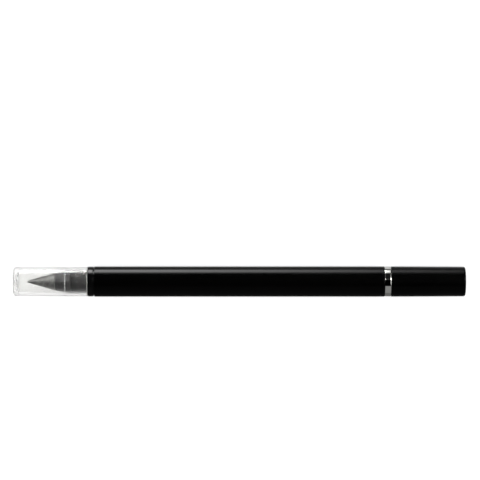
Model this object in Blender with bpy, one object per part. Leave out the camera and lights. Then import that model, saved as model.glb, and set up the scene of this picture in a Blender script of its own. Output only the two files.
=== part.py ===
"""Dual-tip pen: a graphite nib under a clear cap, and a ballpoint under a metal cap.

The pen lies along X on Z = 0, with the nib towards -X and the ballpoint towards +X.
Every piece is turned about the pen's own axis, so each one is an outline of
(station, radius) points spun round that axis. Stations run along X.
"""

import math

import bmesh
import bpy
from mathutils import Matrix, Vector

MM = 0.001

# Barrel
BARREL_DIAMETER = 10.0 * MM
BARREL_WALL = 0.7 * MM
BARREL_LENGTH = 96.9 * MM

# Clear cap over the nib
CLEAR_CAP_LENGTH = 24.7 * MM
CLEAR_CAP_SETBACK = 0.1 * MM      # how far its side lies inside the barrel's
CLEAR_CAP_WALL = 0.72 * MM        # at the mouth
CLEAR_CAP_GRIP = 7.5 * MM         # depth of the straight bore from the mouth
CLEAR_CAP_STEP = 0.08 * MM        # ledge at the bottom of the straight bore
CLEAR_CAP_DRAFT = 0.35 * MM       # narrowing of the bore from the ledge to the closed end
CLEAR_CAP_END_WALL = 0.7 * MM     # on the axis
CLEAR_CAP_DISH = 1.0 * MM         # hollow of the inner end face
CLEAR_CAP_CORNER = 0.8 * MM

# Holder of the nib: a gripping cylinder, a collar and a plug in the barrel
HOLDER_LENGTH = 5.75 * MM
HOLDER_BEAD_FROM_COLLAR = 2.7 * MM
COLLAR_SETBACK = 0.075 * MM       # how far its side lies inside the barrel's
COLLAR_WIDTH = 1.9 * MM
SHADOW_LINE = 0.25 * MM           # groove between the collar and the barrel
PLUG_LENGTH = 9.0 * MM

# Nib, its ferrule and its threaded stud
FERRULE_LENGTH = 5.05 * MM
FERRULE_RISE = 1.0 * MM           # radius gained from the nib to the holder
NIB_LENGTH = 9.3 * MM
NIB_TIP_RADIUS = 0.4 * MM
STUD_DIAMETER = 3.0 * MM
STUD_IN_NIB = 4.5 * MM
STUD_IN_HOLDER = 3.2 * MM
STUD_HOLE_RELIEF = 0.5 * MM       # room past each end of the stud

# Ring, nose and the bush that the nose screws into
RING_SETBACK = 0.1 * MM           # how far its side lies inside the barrel's
RING_WIDTH = 2.2 * MM
RING_CHAMFER = 0.25 * MM
BUSH_WALL = 0.97 * MM
BUSH_LENGTH = 8.0 * MM
BUSH_RECESS = 0.3 * MM            # depth of the bush inside the barrel's mouth
NOSE_TAIL_IN_BARREL = 5.3 * MM
NECK_LENGTH = 5.15 * MM
NECK_BEAD_FROM_RING = 2.45 * MM
NECK_STEP = 0.13 * MM             # drop from the neck to the root of the cone
NOSE_CONE_LENGTH = 9.2 * MM
NOSE_FRONT_WALL = 0.6 * MM
NOSE_BORE_WALL = 0.5 * MM         # least wall between the refill's bore and the cone

# Refill, its point and its ball
REFILL_DIAMETER = 3.0 * MM
REFILL_WALL = 0.4 * MM
REFILL_IN_HOLDER = 5.5 * MM
INK_LENGTH = 62.0 * MM
TAIL_PLUG_LENGTH = 3.0 * MM
TAIL_PLUG_HEAD = 0.8 * MM
TAIL_VENT_DIAMETER = 0.8 * MM
POINT_DIAMETER = 2.1 * MM
POINT_SHOULDER = 1.0 * MM
POINT_SHANK = 4.0 * MM
POINT_CYLINDER = 1.6 * MM         # straight length that shows past the nose
POINT_CONE = 2.3 * MM
POINT_RIM = 0.12 * MM             # thickness of the lip round the ball
INK_CHANNEL_DIAMETER = 0.7 * MM
BALL_DIAMETER = 1.0 * MM
SOCKET_LIP_ANGLE = 60.0           # degrees off the axis at which the socket closes in on the ball

# Cap over the ballpoint, and its liner
CAP_LENGTH = 24.7 * MM
CAP_WALL = 0.55 * MM              # at the mouth
CAP_TAPER = 0.125 * MM            # radius lost from the mouth to the closed end
CAP_END_WALL = 1.0 * MM
CAP_EDGE = 0.4 * MM
LINER_WALL = 0.365 * MM
LINER_LENGTH = 12.0 * MM
LINER_SETBACK = 0.4 * MM          # depth of the liner inside the cap's mouth

# Friction beads, small edges and clearances
BEAD_HEIGHT = 0.13 * MM
BEAD_WIDTH = 0.8 * MM
EDGE = 0.1 * MM
RUNNING_GAP = 0.05 * MM           # radial, where a piece slides or turns in another
PRESS_GAP = 0.03 * MM             # radial, where a piece is pressed into another
SEAT_GAP = 0.05 * MM              # along the axis, where a shoulder meets its seat

# Facets. A flat lies underneath, so the pen rests on it and doesn't roll.
SIDES = 32
FINE_SIDES = 24
ARC_STEPS = 4
CONE_STEPS = 8
BALL_STEPS = 12

# Stations of the outside, from the clear cap's end to the ballpoint cap's end
PEN_LENGTH = (
    CLEAR_CAP_LENGTH + SEAT_GAP + COLLAR_WIDTH + SHADOW_LINE + BARREL_LENGTH
    + SEAT_GAP + RING_WIDTH + SEAT_GAP + CAP_LENGTH
)
CLEAR_CAP_END = -PEN_LENGTH / 2
CLEAR_CAP_MOUTH = CLEAR_CAP_END + CLEAR_CAP_LENGTH
COLLAR_FACE = CLEAR_CAP_MOUTH + SEAT_GAP
COLLAR_BACK = COLLAR_FACE + COLLAR_WIDTH
BARREL_START = COLLAR_BACK + SHADOW_LINE
BARREL_END = BARREL_START + BARREL_LENGTH
RING_START = BARREL_END + SEAT_GAP
RING_END = RING_START + RING_WIDTH
CAP_MOUTH = RING_END + SEAT_GAP
CAP_END = CAP_MOUTH + CAP_LENGTH

# Stations of the nib end, from the collar outwards and inwards
HOLDER_FRONT = COLLAR_FACE - HOLDER_LENGTH
FERRULE_BACK = HOLDER_FRONT - SEAT_GAP
FERRULE_FRONT = FERRULE_BACK - FERRULE_LENGTH
NIB_BASE = FERRULE_FRONT - SEAT_GAP
NIB_TIP = NIB_BASE - NIB_LENGTH
STUD_FRONT = NIB_BASE - STUD_IN_NIB
STUD_BACK = HOLDER_FRONT + STUD_IN_HOLDER
PLUG_END = BARREL_START + PLUG_LENGTH
REFILL_TAIL = PLUG_END - REFILL_IN_HOLDER

# Radii of the nib end
BARREL_RADIUS = BARREL_DIAMETER / 2
BARREL_BORE = BARREL_RADIUS - BARREL_WALL
CLEAR_CAP_RADIUS = BARREL_RADIUS - CLEAR_CAP_SETBACK
CLEAR_CAP_BORE = CLEAR_CAP_RADIUS - CLEAR_CAP_WALL
COLLAR_RADIUS = BARREL_RADIUS - COLLAR_SETBACK
HOLDER_RADIUS = CLEAR_CAP_BORE - RUNNING_GAP - BEAD_HEIGHT
PLUG_RADIUS = BARREL_BORE - PRESS_GAP
NIB_RADIUS = HOLDER_RADIUS - FERRULE_RISE
STUD_RADIUS = STUD_DIAMETER / 2
STUD_HOLE = STUD_RADIUS + RUNNING_GAP

# Radii of the ballpoint end
RING_RADIUS = BARREL_RADIUS - RING_SETBACK
BUSH_BORE = BARREL_BORE - PRESS_GAP - BUSH_WALL
TAIL_RADIUS = BUSH_BORE - RUNNING_GAP
CAP_BORE = BARREL_RADIUS - CAP_WALL
LINER_RADIUS = CAP_BORE - PRESS_GAP
LINER_BORE = LINER_RADIUS - LINER_WALL
NECK_RADIUS = LINER_BORE - RUNNING_GAP - BEAD_HEIGHT
REFILL_RADIUS = REFILL_DIAMETER / 2
REFILL_HOLE = REFILL_RADIUS + RUNNING_GAP
TUBE_BORE = REFILL_RADIUS - REFILL_WALL
POINT_RADIUS = POINT_DIAMETER / 2
POINT_HOLE = POINT_RADIUS + RUNNING_GAP
NOSE_FRONT_RADIUS = POINT_HOLE + NOSE_FRONT_WALL
CONE_ROOT_RADIUS = NECK_RADIUS - NECK_STEP
BALL_RADIUS = BALL_DIAMETER / 2
SOCKET_RADIUS = BALL_RADIUS + RUNNING_GAP

# Stations of the ballpoint end, from the ring outwards and inwards
NOSE_TAIL = BARREL_END - NOSE_TAIL_IN_BARREL
NECK_START = RING_END + SEAT_GAP
NECK_END = NECK_START + NECK_LENGTH
NOSE_FRONT = NECK_END + NOSE_CONE_LENGTH
BORE_END_FROM_FRONT = NOSE_CONE_LENGTH * math.sqrt(
    (REFILL_HOLE + NOSE_BORE_WALL - NOSE_FRONT_RADIUS) / (CONE_ROOT_RADIUS - NOSE_FRONT_RADIUS)
)
BORE_END = NOSE_FRONT - BORE_END_FROM_FRONT
SHOULDER_FRONT = BORE_END - SEAT_GAP
TUBE_FRONT = SHOULDER_FRONT - POINT_SHOULDER
SHANK_BACK = TUBE_FRONT - POINT_SHANK
POINT_CONE_START = NOSE_FRONT + POINT_CYLINDER
POINT_FRONT = POINT_CONE_START + POINT_CONE
LIP_RADIUS = SOCKET_RADIUS * math.sin(math.radians(SOCKET_LIP_ANGLE))
BALL_CENTRE = POINT_FRONT - SOCKET_RADIUS * math.cos(math.radians(SOCKET_LIP_ANGLE))
TUBE_TAIL = REFILL_TAIL + TAIL_PLUG_HEAD


def clear_scene():
    """Remove every object that the scene starts with."""
    for item in list(bpy.data.objects):
        bpy.data.objects.remove(item, do_unlink=True)


def finish(name, colour, roughness, metallic=0.0, alpha=1.0):
    """Make a Principled material."""
    material = bpy.data.materials.new(name)
    material.use_nodes = True
    shader = material.node_tree.nodes["Principled BSDF"]
    shader.inputs["Base Color"].default_value = (*colour, 1.0)
    shader.inputs["Roughness"].default_value = roughness
    shader.inputs["Metallic"].default_value = metallic
    shader.inputs["Alpha"].default_value = alpha
    return material


def joint_frame(name, station, parent=None, height=0.0):
    """Make an empty on the pen's axis, which carries the pieces that move together."""
    frame = bpy.data.objects.new(name, None)
    frame.empty_display_size = BARREL_RADIUS
    frame.location = (station, 0.0, height)
    if parent:
        frame.parent = parent
        frame.location.x -= parent.matrix_world.translation.x
    bpy.context.collection.objects.link(frame)
    bpy.context.view_layer.update()
    return frame


def arc(centre, radius, start, end, steps=ARC_STEPS):
    """Points on a circle in the (station, radius) plane, from one angle in degrees to another."""
    angles = [math.radians(start + (end - start) * i / steps) for i in range(steps + 1)]
    return [(centre[0] + radius * math.cos(a), centre[1] + radius * math.sin(a)) for a in angles]


def bead(middle, radius, direction):
    """Points of a friction bead on a cylinder, a shallow arc, walked along +X or -X."""
    half = BEAD_WIDTH / 2
    curve = (half ** 2 + BEAD_HEIGHT ** 2) / (2 * BEAD_HEIGHT)
    spread = math.degrees(math.asin(half / curve))
    centre = (middle, radius + BEAD_HEIGHT - curve)
    return arc(centre, curve, 90 + direction * spread, 90 - direction * spread)


def spin_outline(work, outline, sides):
    """Spin an outline round the X axis. It closes on the axis, or else on its own first point."""
    corner = 1 / math.cos(math.pi / sides)
    points = [work.verts.new((x, 0.0, radius * corner)) for x, radius in outline]
    for first, second in zip(points, points[1:]):
        work.edges.new((first, second))
    if outline[0][1] > 0.0:
        work.edges.new((points[-1], points[0]))
    bmesh.ops.spin(
        work, geom=work.verts[:] + work.edges[:], axis=(1.0, 0.0, 0.0), cent=(0.0, 0.0, 0.0),
        angle=math.tau, steps=sides, use_merge=True,
    )
    bmesh.ops.remove_doubles(work, verts=work.verts, dist=EDGE / 1000)
    bmesh.ops.recalc_face_normals(work, faces=work.faces)


def turned(name, outline, material, frame, sides=SIDES, origin=None):
    """Make a turned piece on a frame, with its own origin on the pen's axis."""
    start = frame.matrix_world.translation.x if origin is None else origin
    work = bmesh.new()
    spin_outline(work, [(x - start, radius) for x, radius in outline], sides)
    mesh = bpy.data.meshes.new(name)
    work.to_mesh(mesh)
    work.free()
    mesh.transform(Matrix.Rotation(math.pi / sides, 4, "X"))
    mesh.shade_smooth()
    mesh.set_sharp_from_angle(angle=math.radians(30))
    mesh.materials.append(material)
    piece = bpy.data.objects.new(name, mesh)
    piece.parent = frame
    piece.location = Vector((start - frame.matrix_world.translation.x, 0.0, 0.0))
    bpy.context.collection.objects.link(piece)
    return piece


def clear_cap(frame):
    """Clear moulded cap: straight bore that grips the holder's bead, then a drafted bore and a dished end."""
    ledge = CLEAR_CAP_MOUTH - CLEAR_CAP_GRIP
    bore = CLEAR_CAP_BORE - CLEAR_CAP_STEP
    end_bore = bore - CLEAR_CAP_DRAFT
    inner_end = CLEAR_CAP_END + CLEAR_CAP_END_WALL
    curve = (end_bore ** 2 + CLEAR_CAP_DISH ** 2) / (2 * CLEAR_CAP_DISH)
    spread = math.degrees(math.asin(end_bore / curve))
    corner = (CLEAR_CAP_END + CLEAR_CAP_CORNER, CLEAR_CAP_RADIUS - CLEAR_CAP_CORNER)
    outline = [(CLEAR_CAP_END, 0.0)]
    outline += arc(corner, CLEAR_CAP_CORNER, 180, 90)
    outline += [(CLEAR_CAP_MOUTH - EDGE, CLEAR_CAP_RADIUS), (CLEAR_CAP_MOUTH, CLEAR_CAP_RADIUS - EDGE)]
    outline += [(CLEAR_CAP_MOUTH, CLEAR_CAP_BORE + EDGE), (CLEAR_CAP_MOUTH - EDGE, CLEAR_CAP_BORE)]
    outline += [(ledge, CLEAR_CAP_BORE), (ledge - CLEAR_CAP_STEP, bore)]
    dish = arc((inner_end + curve, 0.0), curve, 180 - spread, 180)
    outline += dish[:-1] + [(inner_end, 0.0)]
    material = finish("clear_plastic", (0.90, 0.90, 0.88), 0.06, alpha=0.3)
    return turned("clear_cap", outline, material, frame)


def tip_holder(frame):
    """Gloss holder: stud hole, gripping cylinder with a bead, collar, plug and refill socket."""
    hole_end = STUD_BACK + STUD_HOLE_RELIEF
    socket_end = REFILL_TAIL - STUD_HOLE_RELIEF
    outline = [(hole_end, 0.0), (hole_end, STUD_HOLE), (HOLDER_FRONT, STUD_HOLE)]
    outline += [(HOLDER_FRONT, HOLDER_RADIUS - EDGE), (HOLDER_FRONT + EDGE, HOLDER_RADIUS)]
    outline += bead(COLLAR_FACE - HOLDER_BEAD_FROM_COLLAR, HOLDER_RADIUS, 1)
    outline += [(COLLAR_FACE, HOLDER_RADIUS), (COLLAR_FACE, COLLAR_RADIUS - EDGE)]
    outline += [(COLLAR_FACE + EDGE, COLLAR_RADIUS), (COLLAR_BACK - EDGE, COLLAR_RADIUS)]
    outline += [(COLLAR_BACK, COLLAR_RADIUS - EDGE), (COLLAR_BACK, PLUG_RADIUS)]
    outline += [(PLUG_END, PLUG_RADIUS), (PLUG_END, REFILL_HOLE)]
    outline += [(socket_end, REFILL_HOLE), (socket_end, 0.0)]
    material = finish("holder_plastic", (0.012, 0.012, 0.013), 0.12)
    return turned("tip_holder", outline, material, frame)


def nib_ferrule(frame):
    """Satin cone between the nib and the holder, free on the stud."""
    outline = [(FERRULE_FRONT, STUD_HOLE), (FERRULE_FRONT, NIB_RADIUS)]
    outline += [(FERRULE_BACK - EDGE, HOLDER_RADIUS), (FERRULE_BACK, HOLDER_RADIUS - EDGE)]
    outline += [(FERRULE_BACK, STUD_HOLE)]
    material = finish("ferrule_plastic", (0.022, 0.022, 0.024), 0.38)
    return turned("nib_ferrule", outline, material, frame)


def graphite_nib(frame):
    """Graphite cone with a rounded tip and a hole for the stud."""
    hole_end = STUD_FRONT - STUD_HOLE_RELIEF
    tip_centre = NIB_TIP + NIB_TIP_RADIUS
    reach = NIB_BASE - tip_centre
    slope = math.degrees(
        math.atan2(NIB_RADIUS, reach) - math.asin(NIB_TIP_RADIUS / math.hypot(reach, NIB_RADIUS))
    )
    outline = [(hole_end, 0.0), (hole_end, STUD_HOLE), (NIB_BASE, STUD_HOLE), (NIB_BASE, NIB_RADIUS)]
    outline += arc((tip_centre, 0.0), NIB_TIP_RADIUS, 90 + slope, 180)[:-1]
    outline += [(NIB_TIP, 0.0)]
    material = finish("graphite", (0.10, 0.10, 0.095), 0.42, metallic=0.6)
    return turned("graphite_nib", outline, material, frame)


def nib_stud(frame):
    """Threaded stud, drawn at its thread's outer diameter."""
    outline = [(STUD_FRONT, 0.0), (STUD_FRONT, STUD_RADIUS - EDGE), (STUD_FRONT + EDGE, STUD_RADIUS)]
    outline += [(STUD_BACK - EDGE, STUD_RADIUS), (STUD_BACK, STUD_RADIUS - EDGE), (STUD_BACK, 0.0)]
    material = finish("stud_steel", (0.55, 0.55, 0.56), 0.3, metallic=1.0)
    return turned("nib_stud", outline, material, frame, FINE_SIDES)


def barrel_tube(frame, lacquer):
    """Lacquered tube, open at both ends."""
    outline = [(BARREL_START, BARREL_BORE), (BARREL_START, BARREL_RADIUS - EDGE)]
    outline += [(BARREL_START + EDGE, BARREL_RADIUS), (BARREL_END - EDGE, BARREL_RADIUS)]
    outline += [(BARREL_END, BARREL_RADIUS - EDGE), (BARREL_END, BARREL_BORE)]
    return turned("barrel_tube", outline, lacquer, frame)


def thread_bush(frame):
    """Brass bush pressed into the barrel, which the nose screws into."""
    bush_end = BARREL_END - BUSH_RECESS
    bush_start = bush_end - BUSH_LENGTH
    radius = BARREL_BORE - PRESS_GAP
    outline = [(bush_start, BUSH_BORE), (bush_start, radius), (bush_end, radius), (bush_end, BUSH_BORE)]
    material = finish("bush_brass", (0.70, 0.52, 0.24), 0.3, metallic=1.0)
    return turned("thread_bush", outline, material, frame)


def centre_ring(frame, chrome):
    """Chrome ring on the nose's tail, between the barrel and the cap."""
    bore = TAIL_RADIUS + PRESS_GAP
    outline = [(RING_START, bore), (RING_START, RING_RADIUS - EDGE), (RING_START + EDGE, RING_RADIUS)]
    outline += [(RING_END - RING_CHAMFER, RING_RADIUS), (RING_END, RING_RADIUS - RING_CHAMFER)]
    outline += [(RING_END, bore)]
    return turned("centre_ring", outline, chrome, frame)


def nose_cone(frame, chrome):
    """Chrome nose: tail at its thread's outer diameter, neck with a bead, and a hollow-curved cone."""
    outline = [(NOSE_TAIL, REFILL_HOLE), (NOSE_TAIL, TAIL_RADIUS - EDGE), (NOSE_TAIL + EDGE, TAIL_RADIUS)]
    outline += [(NECK_START, TAIL_RADIUS), (NECK_START, NECK_RADIUS)]
    outline += bead(NECK_START + NECK_BEAD_FROM_RING, NECK_RADIUS, 1)
    outline += [(NECK_END - NECK_STEP, NECK_RADIUS)]
    for i in range(CONE_STEPS + 1):
        to_front = 1 - i / CONE_STEPS
        radius = NOSE_FRONT_RADIUS + (CONE_ROOT_RADIUS - NOSE_FRONT_RADIUS) * to_front ** 2
        outline += [(NOSE_FRONT - NOSE_CONE_LENGTH * to_front, radius)]
    outline += [(NOSE_FRONT, POINT_HOLE), (BORE_END, POINT_HOLE), (BORE_END, REFILL_HOLE)]
    return turned("nose_cone", outline, chrome, frame)


def refill_tube(frame):
    """Plastic ink tube, from the tail plug's head to the point's shoulder."""
    outline = [(TUBE_TAIL + SEAT_GAP, TUBE_BORE), (TUBE_TAIL + SEAT_GAP, REFILL_RADIUS)]
    outline += [(TUBE_FRONT - SEAT_GAP, REFILL_RADIUS), (TUBE_FRONT - SEAT_GAP, TUBE_BORE)]
    material = finish("refill_plastic", (0.85, 0.86, 0.84), 0.25, alpha=0.45)
    return turned("refill_tube", outline, material, frame, FINE_SIDES)


def refill_ink(frame):
    """Column of ink behind the point."""
    ink_front = SHANK_BACK - SEAT_GAP
    ink_back = ink_front - INK_LENGTH
    radius = TUBE_BORE - PRESS_GAP
    outline = [(ink_back, 0.0), (ink_back, radius), (ink_front, radius), (ink_front, 0.0)]
    return turned("refill_ink", outline, finish("ink", (0.006, 0.006, 0.012), 0.2), frame, FINE_SIDES)


def refill_tail_plug(frame):
    """Vented plug in the tail of the ink tube."""
    vent = TAIL_VENT_DIAMETER / 2
    stem = TUBE_BORE - PRESS_GAP
    stem_end = TUBE_TAIL + TAIL_PLUG_LENGTH
    outline = [(REFILL_TAIL, vent), (REFILL_TAIL, REFILL_RADIUS - EDGE), (REFILL_TAIL + EDGE, REFILL_RADIUS)]
    outline += [(TUBE_TAIL, REFILL_RADIUS), (TUBE_TAIL, stem), (stem_end, stem), (stem_end, vent)]
    material = finish("plug_plastic", (0.72, 0.72, 0.70), 0.4)
    return turned("refill_tail_plug", outline, material, frame, FINE_SIDES)


def point_holder(frame):
    """Ballpoint tip: shank in the tube, shoulder, slim stem, cone and the socket round the ball."""
    channel = INK_CHANNEL_DIAMETER / 2
    shank = TUBE_BORE - PRESS_GAP
    seat_angle = 180 - math.degrees(math.asin(channel / SOCKET_RADIUS))
    outline = [(SHANK_BACK, channel), (SHANK_BACK, shank), (TUBE_FRONT, shank)]
    outline += [(TUBE_FRONT, REFILL_RADIUS), (SHOULDER_FRONT, REFILL_RADIUS)]
    outline += [(SHOULDER_FRONT, POINT_RADIUS), (POINT_CONE_START, POINT_RADIUS)]
    outline += [(POINT_FRONT, LIP_RADIUS + POINT_RIM)]
    outline += arc((BALL_CENTRE, 0.0), SOCKET_RADIUS, SOCKET_LIP_ANGLE, seat_angle)
    material = finish("nickel_silver", (0.62, 0.60, 0.55), 0.25, metallic=1.0)
    return turned("point_holder", outline, material, frame, FINE_SIDES)


def writing_ball(frame):
    """Ball that rolls in the point's socket, with its origin at its own centre."""
    outline = arc((BALL_CENTRE, 0.0), BALL_RADIUS, 180, 0, BALL_STEPS)
    outline[0] = (BALL_CENTRE - BALL_RADIUS, 0.0)
    outline[-1] = (BALL_CENTRE + BALL_RADIUS, 0.0)
    material = finish("ball_carbide", (0.42, 0.42, 0.43), 0.15, metallic=1.0)
    return turned("writing_ball", outline, material, frame, FINE_SIDES, BALL_CENTRE)


def cap_shell(frame, lacquer):
    """Lacquered cap, tapering a little to a flat end with a rounded edge."""
    end_radius = BARREL_RADIUS - CAP_TAPER
    inner_end = CAP_END - CAP_END_WALL
    outline = [(CAP_END, 0.0)]
    outline += arc((CAP_END - CAP_EDGE, end_radius - CAP_EDGE), CAP_EDGE, 0, 90)
    outline += [(CAP_MOUTH + EDGE, BARREL_RADIUS), (CAP_MOUTH, BARREL_RADIUS - EDGE)]
    outline += [(CAP_MOUTH, CAP_BORE), (inner_end, CAP_BORE), (inner_end, 0.0)]
    return turned("cap_shell", outline, lacquer, frame)


def cap_liner(frame):
    """Plastic sleeve in the cap that grips the neck's bead."""
    start = CAP_MOUTH + LINER_SETBACK
    end = start + LINER_LENGTH
    outline = [(start, LINER_BORE + EDGE), (start, LINER_RADIUS), (end, LINER_RADIUS)]
    outline += [(end, LINER_BORE), (start + EDGE, LINER_BORE)]
    return turned("cap_liner", outline, finish("liner_plastic", (0.05, 0.05, 0.05), 0.5), frame)


def build_pen():
    """Build the pen's frames from the barrel outwards, then the pieces that each one carries."""
    clear_scene()
    lacquer = finish("barrel_lacquer", (0.010, 0.010, 0.011), 0.22)
    chrome = finish("chrome", (0.78, 0.78, 0.79), 0.08, metallic=1.0)

    barrel = joint_frame("barrel", 0.0, height=BARREL_RADIUS)
    barrel_tube(barrel, lacquer)
    thread_bush(barrel)
    tip_holder(barrel)

    clear_cap(joint_frame("clear_cap_slide", CLEAR_CAP_MOUTH, barrel))

    nib_ring = joint_frame("nib_ring", FERRULE_BACK, barrel)
    nib_ferrule(nib_ring)
    nib = joint_frame("nib_screw", NIB_BASE, nib_ring)
    graphite_nib(nib)
    nib_stud(nib)

    refill = joint_frame("refill", SHOULDER_FRONT, barrel)
    refill_tube(refill)
    refill_ink(refill)
    refill_tail_plug(refill)
    point_holder(refill)
    writing_ball(refill)

    nose = joint_frame("nose_screw", NECK_START, refill)
    nose_cone(nose, chrome)
    centre_ring(nose, chrome)

    cap = joint_frame("cap_slide", CAP_MOUTH, nose)
    cap_shell(cap, lacquer)
    cap_liner(cap)


build_pen()
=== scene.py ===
"""Look of the dual-tip pen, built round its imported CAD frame.

Every piece is turned about the pen's axis, which runs along X from the clear cap to the ballpoint
cap. Each one stands for a CAD node and rides on the CAD body that carries that node.
"""

import logging
import math
from collections.abc import Iterable, Mapping, Sequence
from dataclasses import dataclass, field
from enum import Enum, IntEnum
from typing import Any, ClassVar, Union

import bmesh
import bpy
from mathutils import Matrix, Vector


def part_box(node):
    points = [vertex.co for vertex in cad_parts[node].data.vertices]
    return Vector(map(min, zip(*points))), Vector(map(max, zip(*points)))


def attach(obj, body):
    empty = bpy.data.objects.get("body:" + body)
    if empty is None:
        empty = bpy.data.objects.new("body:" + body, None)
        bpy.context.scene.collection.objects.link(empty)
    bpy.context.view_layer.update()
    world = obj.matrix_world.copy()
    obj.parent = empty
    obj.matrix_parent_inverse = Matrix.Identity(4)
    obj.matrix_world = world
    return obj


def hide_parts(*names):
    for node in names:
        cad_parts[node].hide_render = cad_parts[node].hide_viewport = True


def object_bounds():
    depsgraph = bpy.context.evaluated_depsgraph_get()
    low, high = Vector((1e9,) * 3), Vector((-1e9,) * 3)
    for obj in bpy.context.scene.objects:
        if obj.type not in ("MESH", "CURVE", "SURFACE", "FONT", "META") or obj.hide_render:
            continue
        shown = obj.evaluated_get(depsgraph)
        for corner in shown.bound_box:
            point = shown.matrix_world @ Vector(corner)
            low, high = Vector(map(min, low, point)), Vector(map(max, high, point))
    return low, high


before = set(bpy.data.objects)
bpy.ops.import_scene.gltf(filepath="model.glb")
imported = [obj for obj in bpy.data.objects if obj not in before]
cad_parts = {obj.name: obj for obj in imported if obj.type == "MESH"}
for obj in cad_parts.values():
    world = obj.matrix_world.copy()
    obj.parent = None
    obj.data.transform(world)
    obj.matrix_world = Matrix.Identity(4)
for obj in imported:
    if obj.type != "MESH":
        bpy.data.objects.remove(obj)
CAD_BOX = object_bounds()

MM = 0.001
AXIS_HEIGHT = (CAD_BOX[0].z + CAD_BOX[1].z) / 2
LOG = logging.getLogger("pen")

Colour = tuple[float, float, float]
Range = tuple[float, float]
Value = Union[float, "Wire"]
Setting = Union[float, Sequence[float], "Wire"]


class Body(Enum):
    """CAD bodies that pieces ride on."""

    BARREL = "barrel"
    CLEAR_CAP = "clear_cap"
    NIB_RING = "nib_ring"
    NIB = "nib"
    REFILL = "refill"
    BALL = "ball"
    NOSE = "nose"
    CAP = "cap"


class Slot(Enum):
    """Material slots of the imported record."""

    CLEAR_PLASTIC = "clear_plastic"
    GRAPHITE = "graphite"
    STUD_STEEL = "stud_steel"
    FERRULE_PLASTIC = "ferrule_plastic"
    HOLDER_PLASTIC = "holder_plastic"
    BARREL_LACQUER = "barrel_lacquer"
    BUSH_BRASS = "bush_brass"
    CHROME = "chrome"
    REFILL_PLASTIC = "refill_plastic"
    INK = "ink"
    PLUG_PLASTIC = "plug_plastic"
    NICKEL_SILVER = "nickel_silver"
    BALL_CARBIDE = "ball_carbide"
    LINER_PLASTIC = "liner_plastic"


class Sides(IntEnum):
    """How many sides a turned piece has round its axis."""

    WIDE = 128
    SLIM = 64


# Half sections and turning


@dataclass(frozen=True)
class Span:
    """Where a CAD node lies along the pen, and its largest radius."""

    start: float
    end: float
    radius: float

    @classmethod
    def of(cls, node: str) -> "Span":
        """Read a CAD node's first and last station and its radius."""
        low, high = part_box(node)
        return cls(low.x, high.x, (high.z - low.z) / 2)

    @property
    def middle(self) -> Vector:
        """Its middle on the axis, in the plane of station and radius."""
        return Vector(((self.start + self.end) / 2, 0.0))


@dataclass(frozen=True)
class Corner:
    """Corner of a half section, with the fillet that rounds it."""

    station: float
    radius: float
    fillet: float = 0.0

    @property
    def place(self) -> Vector:
        """Its place in the plane of station and radius."""
        return Vector((self.station, self.radius))


def arc(centre: Vector, radius: float, start: float, end: float, steps: int) -> list[Vector]:
    """Find the points of an arc in the plane of station and radius, with its angles from +X."""
    angles = [start + (end - start) * step / steps for step in range(steps + 1)]
    return [centre + radius * Vector((math.cos(angle), math.sin(angle))) for angle in angles]


def dome(station: float, radius: float, sag: float, steps: int = 16) -> list[Vector]:
    """Find the points of a shallow spherical end, from its rim to the axis.

    Args:
        station: Where its middle lies.
        radius: The rim's radius.
        sag: How far the rim lies from the middle along +X.
        steps: How many stretches it has.

    Returns:
        The points, the last one on the axis.
    """
    curve = (radius**2 + sag**2) / (2 * sag)
    radii = [radius * (1 - step / steps) for step in range(steps + 1)]
    return [
        Vector((station + curve - math.copysign(math.sqrt(curve**2 - r**2), curve), r)) for r in radii
    ]


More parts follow.
